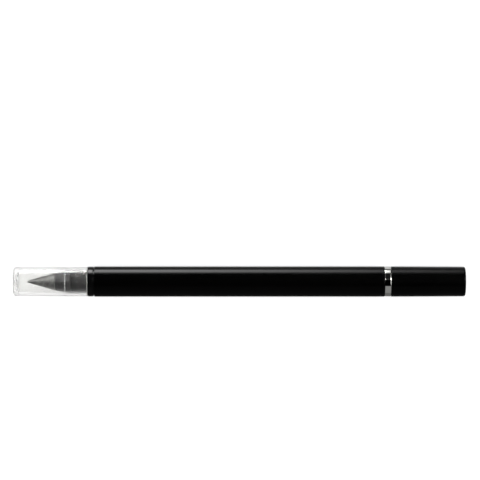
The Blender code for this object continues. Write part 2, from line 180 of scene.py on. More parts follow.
class Outline:
    """Half section of a turned piece, walked corner by corner.

    It closes on the pen's axis where its first corner lies there, and on itself elsewhere.
    """

    ARC_STEPS: ClassVar[int] = 6
    CURVE_STEPS: ClassVar[int] = 18
    THREAD_STEPS: ClassVar[int] = 12
    FILLET_SHARE: ClassVar[float] = 0.45
    SUPPORT_SHARE: ClassVar[float] = 0.04
    SUPPORT: ClassVar[float] = 0.02 * MM

    def __init__(self) -> None:
        """Start with no corners."""
        self.corners: list[Corner] = []

    def to(self, station: float, radius: float, fillet: float = 0.0) -> "Outline":
        """Go on to a corner at a station and a radius, which a fillet may round."""
        self.corners.append(Corner(station, radius, fillet))
        return self

    def through(self, points: Iterable[Sequence[float]]) -> "Outline":
        """Go on through the points of a curve.

        Args:
            points: Their stations and radii.

        Returns:
            This outline.
        """
        for station, radius in points:
            self.to(station, radius)
        return self

    def bead(self, middle: float, radius: float, height: float, width: float) -> "Outline":
        """Go over a friction bead that swells from a cylinder and back, along +X.

        Args:
            middle: The station of its crest.
            radius: The cylinder's radius.
            height: How far the crest stands proud.
            width: Its length along the pen.

        Returns:
            This outline.
        """
        shares = [step / self.CURVE_STEPS for step in range(self.CURVE_STEPS + 1)]
        return self.through(
            (middle + (share - 0.5) * width, radius + height * math.sin(math.pi * share) ** 2)
            for share in shares
        )

    def straight(self, start: float, end: float, radius: float, pitch: float) -> "Outline":
        """Go along a cylinder in steps that are fine enough for a thread of this pitch."""
        count = math.ceil(abs(end - start) / pitch * self.THREAD_STEPS)
        return self.through((start + (end - start) * step / count, radius) for step in range(count + 1))

    def resolved(self) -> list[Vector]:
        """Round the corners that have a fillet.

        Returns:
            The points of the half section, in order.
        """
        points: list[Vector] = []
        for index, corner in enumerate(self.corners):
            if corner.fillet:
                after = self.corners[(index + 1) % len(self.corners)]
                points += self._rounded(self.corners[index - 1], corner, after)
            else:
                points.append(corner.place)
        return points

    def _rounded(self, before: Corner, corner: Corner, after: Corner) -> list[Vector]:
        """Round one corner, with a point beside each end that keeps the straights flat when shaded.

        Args:
            before: The corner before it.
            corner: The corner itself.
            after: The corner after it.

        Returns:
            The points that take the corner's place.
        """
        here = corner.place
        back, ahead = before.place - here, after.place - here
        half = back.angle(ahead) / 2
        room = min(back.length, ahead.length)
        reach = min(corner.fillet / math.tan(half), self.FILLET_SHARE * room)
        support = reach + min(self.SUPPORT, self.SUPPORT_SHARE * room)
        back.normalize()
        ahead.normalize()
        radius = reach * math.tan(half)
        centre = here + (back + ahead).normalized() * (radius / math.sin(half))
        first, last = here + back * reach - centre, here + ahead * reach - centre
        start = math.atan2(first.y, first.x)
        sweep = math.remainder(math.atan2(last.y, last.x) - start, math.tau)
        bend = arc(centre, radius, start, start + sweep, self.ARC_STEPS)
        return [here + back * support, *bend, here + ahead * support]


class Relief:
    """What is cut into a turned surface and changes round the axis: here, nothing."""

    NEAR: ClassVar[float] = 0.001 * MM

    def cut(self, station: float, radius: float, angle: float) -> float:
        """Say how much a place on the surface loses of its radius, below 0 where it gains."""
        return 0.0


@dataclass(frozen=True)
class Thread(Relief):
    """Right-handed thread, cut inwards on a screw and outwards in a nut."""

    start: float
    end: float
    surface: float
    pitch: float
    depth: float

    CREST: ClassVar[float] = 0.86
    ROOT: ClassVar[float] = 0.2

    def cut(self, station: float, radius: float, angle: float) -> float:
        """Cut the thread's groove, which fades out over half a turn at each end.

        Args:
            station: The place along the pen.
            radius: Its radius before the cut.
            angle: Its angle round the axis.

        Returns:
            The groove's depth there.
        """
        inside = min(station - self.start, self.end - station)
        if abs(radius - self.surface) > self.NEAR or inside <= 0.0:
            return 0.0
        turn = (station / self.pitch - angle / math.tau) % 1.0
        rise = (self.CREST - abs(2 * turn - 1)) / (self.CREST - self.ROOT)
        return self.depth * min(max(rise, 0.0), 1.0) * min(2 * inside / self.pitch, 1.0)


@dataclass(frozen=True)
class Flutes(Relief):
    """Straight grooves along a bore, spaced evenly round it and cut outwards."""

    surface: float
    count: int
    depth: float

    SHARPNESS: ClassVar[float] = 3.0

    def cut(self, station: float, radius: float, angle: float) -> float:
        """Cut the flutes.

        Args:
            station: The place along the pen.
            radius: Its radius before the cut.
            angle: Its angle round the axis.

        Returns:
            The flute's depth there, below 0 because it goes outwards.
        """
        if abs(radius - self.surface) > self.NEAR:
            return 0.0
        return -self.depth * max(math.cos(self.count * angle), 0.0) ** self.SHARPNESS


@dataclass(frozen=True)
class Lathe:
    """Turns half sections into meshes about the pen's axis."""

    sides: Sides

    SHARP: ClassVar[float] = math.radians(35)

    def turn(self, name: str, outline: Outline, relief: Relief = Relief()) -> bpy.types.Mesh:
        """Turn a piece.

        Args:
            name: The mesh's name.
            outline: Its half section.
            relief: What is cut into its surface.

        Returns:
            The piece's mesh, with the pen's axis as its X axis.
        """
        points = outline.resolved()
        work = bmesh.new()
        rings = [self._ring(work, point, relief) for point in points]
        if points[0].y > 0.0:
            rings.append(rings[0])
        for first, second in zip(rings, rings[1:]):
            self._skin(work, first, second)
        bmesh.ops.recalc_face_normals(work, faces=work.faces)
        mesh = bpy.data.meshes.new(name)
        work.to_mesh(mesh)
        work.free()
        mesh.shade_smooth()
        mesh.set_sharp_from_angle(angle=self.SHARP)
        return mesh

    def _ring(self, work: bmesh.types.BMesh, point: Vector, relief: Relief) -> list[bmesh.types.BMVert]:
        """Add the ring of vertices that a point sweeps, or one vertex where it lies on the axis.

        Args:
            work: The mesh in hand.
            point: The point's station and radius.
            relief: What is cut into the surface.

        Returns:
            The ring's vertices.
        """
        station, radius = point
        if radius <= 0.0:
            return [work.verts.new((station, 0.0, 0.0))]
        ring = []
        for side in range(self.sides):
            angle = math.tau * side / self.sides
            left = radius - relief.cut(station, radius, angle)
            ring.append(work.verts.new((station, left * math.cos(angle), left * math.sin(angle))))
        return ring

    def _skin(
        self, work: bmesh.types.BMesh, first: list[bmesh.types.BMVert], second: list[bmesh.types.BMVert]
    ) -> None:
        """Join two rings with faces.

        Args:
            work: The mesh in hand.
            first: One ring, or a single vertex on the axis.
            second: The next ring, or a single vertex on the axis.
        """
        for side in range(self.sides):
            ahead = (side + 1) % self.sides
            places = [
                first[side % len(first)], first[ahead % len(first)],
                second[ahead % len(second)], second[side % len(second)],
            ]
            work.faces.new(dict.fromkeys(places))


# Shader graphs


@dataclass(frozen=True)
class Grain:
    """Noise that is stretched along the pen or round it, with its cells in a metre each way."""

    along: float
    across: float
    detail: float = 2.0


class Wire:
    """Shader socket that takes part in Python expressions, where each operator adds a Math node."""

    def __init__(self, graph: "Graph", socket: bpy.types.NodeSocket) -> None:
        """Wrap an output socket of a graph."""
        self.graph = graph
        self.socket = socket

    def __add__(self, other: Value) -> "Wire":
        """Add a value to this one."""
        return self.graph.maths("ADD", self, other)

    def __radd__(self, other: Value) -> "Wire":
        """Add this value to another."""
        return self.graph.maths("ADD", other, self)

    def __sub__(self, other: Value) -> "Wire":
        """Take a value from this one."""
        return self.graph.maths("SUBTRACT", self, other)

    def __rsub__(self, other: Value) -> "Wire":
        """Take this value from another."""
        return self.graph.maths("SUBTRACT", other, self)

    def __mul__(self, other: Value) -> "Wire":
        """Multiply this value by another."""
        return self.graph.maths("MULTIPLY", self, other)

    def __rmul__(self, other: Value) -> "Wire":
        """Multiply another value by this one."""
        return self.graph.maths("MULTIPLY", other, self)


class Graph:
    """Node tree of a finish or of the light dome."""

    def __init__(self, tree: bpy.types.NodeTree) -> None:
        """Start with an empty tree."""
        tree.nodes.clear()
        self.tree = tree

    def node(
        self,
        kind: str,
        settings: Mapping[str, Any] | None = None,
        inputs: Mapping[str, Setting] | None = None,
    ) -> bpy.types.Node:
        """Add a node of any kind.

        Args:
            kind: The node's type.
            settings: Its own settings, which are set first.
            inputs: Values or wires for its sockets, by the socket's identifier or name.

        Returns:
            The new node.
        """
        node = self.tree.nodes.new(kind)
        for name, value in (settings or {}).items():
            setattr(node, name, value)
        for name, value in (inputs or {}).items():
            socket = self._socket(node.inputs, name)
            if isinstance(value, Wire):
                self.tree.links.new(value.socket, socket)
            elif socket.type == "RGBA":
                socket.default_value = (*value, 1.0)
            else:
                socket.default_value = value
        return node

    @staticmethod
    def _socket(sockets: Iterable[bpy.types.NodeSocket], name: str) -> bpy.types.NodeSocket:
        """Find a socket by its identifier, or else by its name.

        Args:
            sockets: A node's inputs or outputs.
            name: What it is called.

        Returns:
            The socket.
        """
        found = {socket.name: socket for socket in reversed(list(sockets))}
        found.update({socket.identifier: socket for socket in sockets})
        return found[name]

    def wire(
        self,
        output: str,
        kind: str,
        settings: Mapping[str, Any] | None = None,
        inputs: Mapping[str, Setting] | None = None,
    ) -> Wire:
        """Add a node and take one of its outputs, by its identifier or name."""
        return Wire(self, self._socket(self.node(kind, settings, inputs).outputs, output))

    def maths(self, operation: str, first: Value, second: Value) -> Wire:
        """Work out one value from two with a Math node's operation."""
        inputs = {"Value": first, "Value_001": second}
        return self.wire("Value", "ShaderNodeMath", {"operation": operation}, inputs)

    def step(self, value: Value, start: float, end: float, low: float = 0.0, high: float = 1.0) -> Wire:
        """Go smoothly from one level to another as a value goes from start to end.

        Args:
            value: The value that is read.
            start: Where the change starts.
            end: Where it ends.
            low: The level at and before start.
            high: The level at and after end.

        Returns:
            The level.
        """
        limits = {"From Min": start, "From Max": end, "To Min": low, "To Max": high}
        settings = {"interpolation_type": "SMOOTHSTEP"}
        return self.wire("Result", "ShaderNodeMapRange", settings, {"Value": value, **limits})

    def mix(self, share: Value, first: Setting, second: Setting) -> Wire:
        """Mix two colours, with this share of the second one."""
        inputs = {"Factor_Float": share, "A_Color": first, "B_Color": second}
        return self.wire("Result_Color", "ShaderNodeMix", {"data_type": "RGBA"}, inputs)

    def grain(self, grain: Grain) -> Wire:
        """Add noise.

        Args:
            grain: Its cells and detail.

        Returns:
            The noise, about NOISE_MIDDLE on average.
        """
        place = self.wire("Object", "ShaderNodeTexCoord")
        inputs = {"Vector": place, "Vector_001": (grain.along, grain.across, grain.across)}
        place = self.wire("Vector", "ShaderNodeVectorMath", {"operation": "MULTIPLY"}, inputs)
        inputs = {"Vector": place, "Scale": 1.0, "Detail": grain.detail}
        return self.wire("Fac", "ShaderNodeTexNoise", None, inputs)

    def station(self) -> Wire:
        """Read the place along the pen, in metres."""
        place = self.wire("Object", "ShaderNodeTexCoord")
        return self.wire("X", "ShaderNodeSeparateXYZ", None, {"Vector": place})

    def radius(self) -> Wire:
        """Read the distance from the pen's axis.

        Returns:
            The distance, in metres.
        """
        place = self.wire("Object", "ShaderNodeTexCoord")
        inputs = {"Vector": place, "Vector_001": (0.0, 1.0, 1.0)}
        place = self.wire("Vector", "ShaderNodeVectorMath", {"operation": "MULTIPLY"}, inputs)
        return self.wire("Value", "ShaderNodeVectorMath", {"operation": "LENGTH"}, {"Vector": place})

    def bump(self, height: Wire, distance: float) -> Wire:
        """Turn a height from 0 to 1 into a normal, where 1 is this distance high, in metres."""
        inputs = {"Strength": 1.0, "Distance": distance, "Height": height}
        return self.wire("Normal", "ShaderNodeBump", None, inputs)

    def surface(
        self,
        inputs: Mapping[str, Setting],
        share: Value = 0.0,
        cover: Mapping[str, Setting] | None = None,
    ) -> None:
        """End the graph in a Principled surface, which another one may cover in part.

        Args:
            inputs: Values or wires for the surface's sockets.
            share: How much of it is covered.
            cover: Values or wires for the sockets of the surface that covers it.
        """
        shader = self.wire("BSDF", "ShaderNodeBsdfPrincipled", None, inputs)
        if cover:
            over = self.wire("BSDF", "ShaderNodeBsdfPrincipled", None, cover)
            shaders = {"Fac": share, "Shader": shader, "Shader_001": over}
            shader = self.wire("Shader", "ShaderNodeMixShader", None, shaders)
        self.node("ShaderNodeOutputMaterial", None, {"Surface": shader})


# Finishes

PLASTIC_INDEX = 1.5
ACRYLIC_INDEX = 1.49
NOISE_MIDDLE = 0.5


@dataclass(frozen=True)
class Finish:
    """Named finish, whose material is painted the first time that a piece asks for it."""

    name: str

    MADE: ClassVar[dict[str, bpy.types.Material]] = {}

    def material(self) -> bpy.types.Material:
        """Find the finish's material, or make it.

        Returns:
            The material.
        """
        if self.name not in self.MADE:
            made = bpy.data.materials.new(self.name)
            made.use_nodes = True
            self.paint(Graph(made.node_tree))
            self.MADE[self.name] = made
        return self.MADE[self.name]

    def paint(self, graph: Graph) -> None:
        """Add the finish's nodes to its material's empty graph."""
        raise NotImplementedError


@dataclass(frozen=True)
class Lacquer(Finish):
    """Sprayed gloss lacquer, with slow cloudiness and a very fine orange peel."""

    dark: Colour
    light: Colour
    specular: float = 0.06
    roughness: float = 0.215
    clouding: float = 0.06
    peel: float = 0.0016 * MM
    cloud_grain: Grain = Grain(90.0, 160.0, 3.0)
    peel_grain: Grain = Grain(1700.0, 1700.0, 1.0)

    def paint(self, graph: Graph) -> None:
        """Paint the lacquer.

        Args:
            graph: The material's empty graph.
        """
        cloud = graph.grain(self.cloud_grain)
        graph.surface({
            "Base Color": graph.mix(cloud, self.dark, self.light),
            "Roughness": self.roughness + self.clouding * (cloud - NOISE_MIDDLE),
            "IOR": PLASTIC_INDEX,
            "Specular IOR Level": self.specular,
            "Normal": graph.bump(graph.grain(self.peel_grain), self.peel),
        })


@dataclass(frozen=True)
class Chrome(Finish):
    """Polished plating over turned metal, whose faint lines run round the pen."""

    colour: Colour = (0.83, 0.83, 0.80)
    haze: Colour = (0.75, 0.75, 0.72)
    haze_range: Range = (0.35, 0.75)
    roughness: float = 0.025
    wiping: float = 0.03
    wiping_range: Range = (0.5, 0.8)
    lines: float = 0.0002 * MM
    smear_grain: Grain = Grain(350.0, 350.0, 3.0)
    line_grain: Grain = Grain(9000.0, 60.0)

    def paint(self, graph: Graph) -> None:
        """Paint the plating.

        Args:
            graph: The material's empty graph.
        """
        smear = graph.grain(self.smear_grain)
        graph.surface({
            "Base Color": graph.mix(graph.step(smear, *self.haze_range), self.colour, self.haze),
            "Metallic": 1.0,
            "Roughness": self.roughness + self.wiping * graph.step(smear, *self.wiping_range),
            "Normal": graph.bump(graph.grain(self.line_grain), self.lines),
        })


@dataclass(frozen=True)
class ClearPlastic(Finish):
    """Clear moulded tube with a duller bore, a cloudy closed end, flow marks and fine rubbing.

    Its edges are hazy, and faces that are seen square on have a soft glow of a coat.
    The cloudy end lies off the pen where a finish doesn't place it.
    """

    skin: Colour
    bore: Colour
    bore_radius: float
    roughness: float
    rubbing: float
    clearness: float
    cloud_end: float = -1.0
    cloud_fade: float = 0.6 * MM
    cloud: Colour = (0.70, 0.70, 0.69)
    cloud_dullness: float = 0.15
    skin_ratio: float = 1.08
    sheen: Colour = (0.02, 0.02, 0.02)
    edge_blend: float = 0.5
    haze: Colour = (0.9, 0.9, 0.89)
    haze_roughness: float = 0.5
    haze_rise: float = 7.0
    haze_most: float = 0.32
    glow_fade: Range = (0.36, 0.52)
    glow_index: float = 1.41
    glow_roughness: float = 0.43
    flow_tint: float = 0.2
    ripple: float = 0.0008 * MM
    rub_range: Range = (0.52, 0.8)
    flow_grain: Grain = Grain(120.0, 420.0)
    rub_grain: Grain = Grain(250.0, 3200.0)

    def paint(self, graph: Graph) -> None:
        """Paint the plastic.

        Args:
            graph: The material's empty graph.
        """
        flow = graph.grain(self.flow_grain)
        rubs = graph.step(graph.grain(self.rub_grain), *self.rub_range)
        outside = graph.step(graph.radius(), self.bore_radius, self.skin_ratio * self.bore_radius)
        clear = graph.step(graph.station(), self.cloud_end - self.cloud_fade, self.cloud_end)
        tube = graph.mix(outside + self.flow_tint * (flow - NOISE_MIDDLE), self.bore, self.skin)
        facing = graph.wire("Facing", "ShaderNodeLayerWeight", None, {"Blend": self.edge_blend})
        haze = graph.maths("MINIMUM", self.haze_rise * facing * facing * facing, self.haze_most)
        plastic = {
            "Base Color": graph.mix(clear, self.cloud, tube),
            "Roughness": self.roughness + self.rubbing * rubs + self.cloud_dullness * (1.0 - clear),
            "IOR": ACRYLIC_INDEX,
            "Transmission Weight": self.clearness,
            "Specular Tint": self.sheen,
            "Coat Weight": 1.0 - graph.step(facing, *self.glow_fade),
            "Coat IOR": self.glow_index,
            "Coat Roughness": self.glow_roughness,
            "Normal": graph.bump(flow, self.ripple),
        }
        cover = {"Base Color": self.haze, "Roughness": self.haze_roughness, "Specular IOR Level": 0.0}
        graph.surface(plastic, haze * outside, cover)


@dataclass(frozen=True)
class Graphite(Finish):
    """Pressed graphite with lengthwise sharpening streaks and a sparkle of grains."""

    dark: Colour = (0.102, 0.102, 0.099)
    light: Colour = (0.272, 0.272, 0.262)
    metallic: float = 0.9
    roughness: float = 0.34
    dulling: float = 0.16
    tooth: float = 0.006 * MM
    streak_share: float = 0.6
    rubbed_range: Range = (0.36, 0.64)
    streak_grain: Grain = Grain(260.0, 2600.0, 3.0)
    speck_grain: Grain = Grain(5200.0, 5200.0)

    def paint(self, graph: Graph) -> None:
        """Paint the graphite.

        Args:
            graph: The material's empty graph.
        """
        streaks = graph.grain(self.streak_grain)
        specks = graph.grain(self.speck_grain)
        wear = self.streak_share * streaks + (1.0 - self.streak_share) * specks
        rubbed = graph.step(wear, *self.rubbed_range)
        graph.surface({
            "Base Color": graph.mix(rubbed, self.dark, self.light),
            "Metallic": self.metallic,
            "Roughness": self.roughness + self.dulling * (1.0 - rubbed),
            "Normal": graph.bump(streaks + specks, self.tooth),
        })


@dataclass(frozen=True)
class MouldedPlastic(Finish):
    """Opaque moulded plastic, from gloss to satin, with the mould's own fine texture."""

    dark: Colour
    light: Colour
    roughness: float
    mottling: float
    texture: float
    specular: float = 0.25
    cells: float = 2600.0
    flow_grain: Grain = Grain(140.0, 260.0, 3.0)

    def paint(self, graph: Graph) -> None:
        """Paint the plastic.

        Args:
            graph: The material's empty graph.
        """
        texture = graph.grain(Grain(self.cells, self.cells))
        graph.surface({
            "Base Color": graph.mix(graph.grain(self.flow_grain), self.dark, self.light),
            "Roughness": self.roughness + self.mottling * (texture - NOISE_MIDDLE),
            "IOR": PLASTIC_INDEX,
            "Specular IOR Level": self.specular,
            "Normal": graph.bump(texture, self.texture),
        })


@dataclass(frozen=True)
class TurnedMetal(Finish):
    """Bare metal with the fine rings that a cutting tool leaves round the axis."""

    colour: Colour
    tarnish: Colour
    roughness: float
    feed: float = 0.06 * MM
    depth: float = 0.0012 * MM
    ring_swing: float = 0.12
    ring_cells: float = 40.0
    stain_swing: float = 0.1
    stain_range: Range = (0.4, 0.75)
    stain_grain: Grain = Grain(500.0, 500.0, 3.0)

    def paint(self, graph: Graph) -> None:
        """Paint the metal.

        Args:
            graph: The material's empty graph.
        """
        rings = graph.grain(Grain(1.0 / self.feed, self.ring_cells, 1.0))
        stain = graph.grain(self.stain_grain)
        swing = self.ring_swing * (rings - NOISE_MIDDLE) + self.stain_swing * (stain - NOISE_MIDDLE)
        graph.surface({
            "Base Color": graph.mix(graph.step(stain, *self.stain_range), self.colour, self.tarnish),
            "Metallic": 1.0,
            "Roughness": self.roughness + swing,
            "Normal": graph.bump(rings, self.depth),
        })


@dataclass(frozen=True)
class Ink(Finish):
    """Thick ballpoint ink, with faint swirls where it clings to its tube."""

    dark: Colour = (0.002, 0.002, 0.006)
    light: Colour = (0.010, 0.010, 0.030)
    light_range: Range = (0.45, 0.7)
    roughness: float = 0.1
    dulling: float = 0.2
    dull_range: Range = (0.5, 0.8)
    swirl_grain: Grain = Grain(180.0, 900.0, 4.0)

    def paint(self, graph: Graph) -> None:
        """Paint the ink.

        Args:
            graph: The material's empty graph.
        """
        swirl = graph.grain(self.swirl_grain)
        graph.surface({
            "Base Color": graph.mix(graph.step(swirl, *self.light_range), self.dark, self.light),
            "Roughness": self.roughness + self.dulling * graph.step(swirl, *self.dull_range),
            "IOR": PLASTIC_INDEX,
        })


@dataclass(frozen=True)
class Backdrop(Finish):
    """Pale matt sheet under the pen, with the faint cloudiness of paper."""

    light: Colour = (0.90, 0.90, 0.90)
    dark: Colour = (0.885, 0.885, 0.885)
    roughness: float = 0.8
    specular: float = 0.2
    cloud_grain: Grain = Grain(30.0, 30.0, 3.0)

    def paint(self, graph: Graph) -> None:
        """Paint the sheet.

        Args:
            graph: The material's empty graph.
        """
        graph.surface({
            "Base Color": graph.mix(graph.grain(self.cloud_grain), self.light, self.dark),
            "Roughness": self.roughness,
            "Specular IOR Level": self.specular,
        })


BLACK_LACQUER = Lacquer(
    "black_gloss_lacquer", dark=(0.0001, 0.0001, 0.0001), light=(0.0006, 0.0006, 0.0006)
)
POLISHED_CHROME = Chrome("polished_chrome_plate")
CAP_CLEAR = ClearPlastic(
    "clear_cap_plastic", skin=(0.94, 0.94, 0.93), bore=(0.74, 0.74, 0.73), bore_radius=4.45 * MM,
    roughness=0.015, rubbing=0.06, clearness=0.992, cloud_end=CAD_BOX[0].x + 1.4 * MM,
)
TUBE_CLEAR = ClearPlastic(
    "ink_tube_plastic", skin=(0.94, 0.95, 0.93), bore=(0.88, 0.89, 0.87), bore_radius=1.2 * MM,
    roughness=0.12, rubbing=0.15, clearness=0.8,
)
NIB_GRAPHITE = Graphite("pressed_graphite")
HOLDER_GLOSS = MouldedPlastic(
    "gloss_black_plastic", dark=(0.001, 0.001, 0.0011), light=(0.002, 0.002, 0.0021),
    roughness=0.22, mottling=0.05, texture=0.0006 * MM, specular=0.088,
)
FERRULE_SATIN = MouldedPlastic(
    "satin_black_plastic", dark=(0.002, 0.002, 0.0023), light=(0.004, 0.004, 0.0045),
    roughness=0.34, mottling=0.12, texture=0.003 * MM, specular=0.6, cells=4200.0,
)
LINER_SATIN = MouldedPlastic(
    "liner_grey_plastic", dark=(0.035, 0.035, 0.036), light=(0.06, 0.06, 0.06),
    roughness=0.45, mottling=0.12, texture=0.003 * MM,
)
PLUG_NATURAL = MouldedPlastic(
    "natural_plug_plastic", dark=(0.70, 0.70, 0.67), light=(0.78, 0.78, 0.76),
    roughness=0.4, mottling=0.12, texture=0.003 * MM,
)
TURNED_BRASS = TurnedMetal("turned_brass", (0.72, 0.53, 0.25), (0.52, 0.36, 0.16), 0.26)
TURNED_STEEL = TurnedMetal("turned_steel", (0.56, 0.56, 0.57), (0.40, 0.39, 0.38), 0.3)
NICKEL_SILVER = TurnedMetal(
    "turned_nickel_silver", (0.76, 0.75, 0.71), (0.62, 0.60, 0.55), 0.06, depth=0.0003 * MM
)
GROUND_CARBIDE = TurnedMetal(
    "ground_carbide", (0.45, 0.45, 0.46), (0.34, 0.34, 0.35), 0.16, feed=0.03 * MM
)
BLACK_INK = Ink("black_ballpoint_ink")
PALE_SHEET = Backdrop("pale_sheet")


# Sub-assemblies of the pen, after the sizes that two of them share

STUD_HOLE = 1.55 * MM
REFILL_HOLE = 1.55 * MM
HOLE_RELIEF = 0.5 * MM
BEAD_HEIGHT = 0.13 * MM
BEAD_WIDTH = 0.9 * MM
NOSE_THREAD_PITCH = 0.75 * MM
NOSE_THREAD_DEPTH = 0.4 * MM


def add_object(name: str, data: bpy.types.ID, location: Sequence[float]) -> bpy.types.Object:
    """Add an object to the scene.

    Args:
        name: The object's name.
        data: Its mesh, light or camera.
        location: Where it stands.

    Returns:
        The object.
    """
    made = bpy.data.objects.new(name, data)
    made.location = location
    bpy.context.scene.collection.objects.link(made)
    return made


@dataclass
class SubAssembly:
    """Turned pieces that are made and finished together, kept by name once they are built."""

    pieces: dict[str, bpy.types.Object] = field(default_factory=dict, init=False)

    def build(self) -> None:
        """Build the meshes and seat them on the pen."""
        raise NotImplementedError

    def dress(self) -> None:
        """Give each piece its finish."""
        raise NotImplementedError

    def turn(
        self,
        name: str,
        node: str,
        body: Body,
        outline: Outline,
        sides: Sides = Sides.WIDE,
        relief: Relief = Relief(),
    ) -> None:
        """Turn a piece and put it on the pen's axis, in place of a CAD node.

        Args:
            name: The piece's name.
            node: The CAD node that it stands for.
            body: The CAD body that carries it.
            outline: Its half section.
            sides: How many sides it has round the axis.
            relief: What is cut into its surface.
        """
        piece = add_object(name, Lathe(sides).turn(name, outline, relief), (0.0, 0.0, AXIS_HEIGHT))
        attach(piece, body.value)
        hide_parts(node)
        self.pieces[name] = piece

    def coat(self, name: str, finish: Finish, slot: Slot) -> None:
        """Give one piece its finish.

        Args:
            name: The piece's name.
            finish: Its finish.
            slot: The record's material slot that the finish belongs to; it is not used.
        """
        piece = self.pieces[name]
        piece.data.materials.append(finish.material())


@dataclass
class ClearCap(SubAssembly):
    """Clear cap over the graphite nib, with a relief groove at the bottom of its straight bore."""

    wall: float = 0.72 * MM
    grip: float = 7.5 * MM
    step: float = 0.08 * MM
    groove: float = 0.22 * MM
    groove_shift: float = 0.25 * MM
    draft: float = 0.35 * MM
    end_wall: float = 0.7 * MM
    dish: float = 1.0 * MM
    dish_round: float = 0.2 * MM
    corner: float = 0.8 * MM
    lip: float = 0.14 * MM
    mouth: float = 0.28 * MM
    gate_radius: float = 0.7 * MM
    gate_depth: float = 0.12 * MM

    def build(self) -> None:
        """Build the cap's moulding."""
        span = Span.of("clear_cap")
        bore = span.radius - self.wall
        drafted = bore - self.step
        ledge = span.end - self.grip + self.groove_shift
        outline = Outline()
        outline.to(span.start + self.gate_depth, 0.0)
        outline.to(span.start + self.gate_depth, self.gate_radius - self.gate_depth, self.gate_depth / 2)
        outline.to(span.start, self.gate_radius, self.gate_depth / 2)
        outline.to(span.start, span.radius, self.corner).to(span.end, span.radius, self.lip)
        outline.to(span.end, bore + self.mouth, self.step / 2)
        outline.to(span.end - self.mouth, bore, self.step / 2)
        outline.to(ledge, bore, self.step / 2).to(ledge, bore + self.groove, self.step / 2)
        outline.to(ledge - self.groove - self.step, drafted, self.step)
        rim, *floor = dome(span.start + self.end_wall, drafted - self.draft, self.dish)
        outline.to(*rim, self.dish_round)
        outline.through(point for point in floor if point.y < rim.y - 2 * self.dish_round)
        self.turn("clear_cap_moulding", "clear_cap", Body.CLEAR_CAP, outline)
        self.pieces["clear_cap_moulding"].visible_shadow = False

    def dress(self) -> None:
        """Finish the cap."""
        self.coat("clear_cap_moulding", CAP_CLEAR, Slot.CLEAR_PLASTIC)


@dataclass
class NibEnd(SubAssembly):
    """Graphite nib on its threaded stud, and the ferrule behind it."""

    tip_radius: float = 0.4 * MM
    stud_hole: float = STUD_HOLE
    hole_relief: float = HOLE_RELIEF
    nib_radius: float = 3.0 * MM
    edge: float = 0.08 * MM
    thread_length: float = 4.6 * MM
    thread_pitch: float = 0.5 * MM
    thread_depth: float = 0.28 * MM

    def build(self) -> None:
        """Build the nib, its stud and the ferrule."""
        self._build_nib()
        self._build_stud()
        self._build_ferrule()

    def _build_nib(self) -> None:
        """Build the graphite cone, with its rounded tip and the hole for the stud."""
        span, stud = Span.of("graphite_nib"), Span.of("nib_stud")
        hole_end = stud.start - self.hole_relief
        centre = Vector((span.start + self.tip_radius, 0.0))
        reach = span.end - centre.x
        slope = math.atan2(span.radius, reach)
        slope -= math.asin(self.tip_radius / math.hypot(reach, span.radius))
        outline = Outline().to(hole_end, 0.0).to(hole_end, self.stud_hole).to(span.end, self.stud_hole)
        outline.to(span.end, span.radius, self.edge)
        tip = arc(centre, self.tip_radius, math.pi / 2 + slope, math.pi, Outline.CURVE_STEPS)
        outline.through(tip[:-1]).to(span.start, 0.0)
        self.turn("nib_graphite", "graphite_nib", Body.NIB, outline)

    def _build_stud(self) -> None:
        """Build the stud, threaded where it screws into the holder."""
        span = Span.of("nib_stud")
        thread_start = span.end - self.thread_length
        outline = Outline().to(span.start, 0.0).to(span.start, span.radius, self.edge)
        outline.straight(thread_start, span.end - self.edge, span.radius, self.thread_pitch)
        outline.to(span.end, span.radius - self.thread_depth, self.edge).to(span.end, 0.0)
        thread = Thread(thread_start, span.end, span.radius, self.thread_pitch, self.thread_depth)
        self.turn("nib_stud_thread", "nib_stud", Body.NIB, outline, Sides.SLIM, thread)

    def _build_ferrule(self) -> None:
        """Build the cone between the nib and the holder."""
        span = Span.of("nib_ferrule")
        outline = Outline().to(span.start, self.stud_hole).to(span.start, self.nib_radius, self.edge)
        outline.to(span.end, span.radius, self.edge).to(span.end, self.stud_hole)
        self.turn("ferrule_cone", "nib_ferrule", Body.NIB_RING, outline)

    def dress(self) -> None:
        """Finish the nib end."""
        self.coat("nib_graphite", NIB_GRAPHITE, Slot.GRAPHITE)
        self.coat("nib_stud_thread", TURNED_STEEL, Slot.STUD_STEEL)
        self.coat("ferrule_cone", FERRULE_SATIN, Slot.FERRULE_PLASTIC)


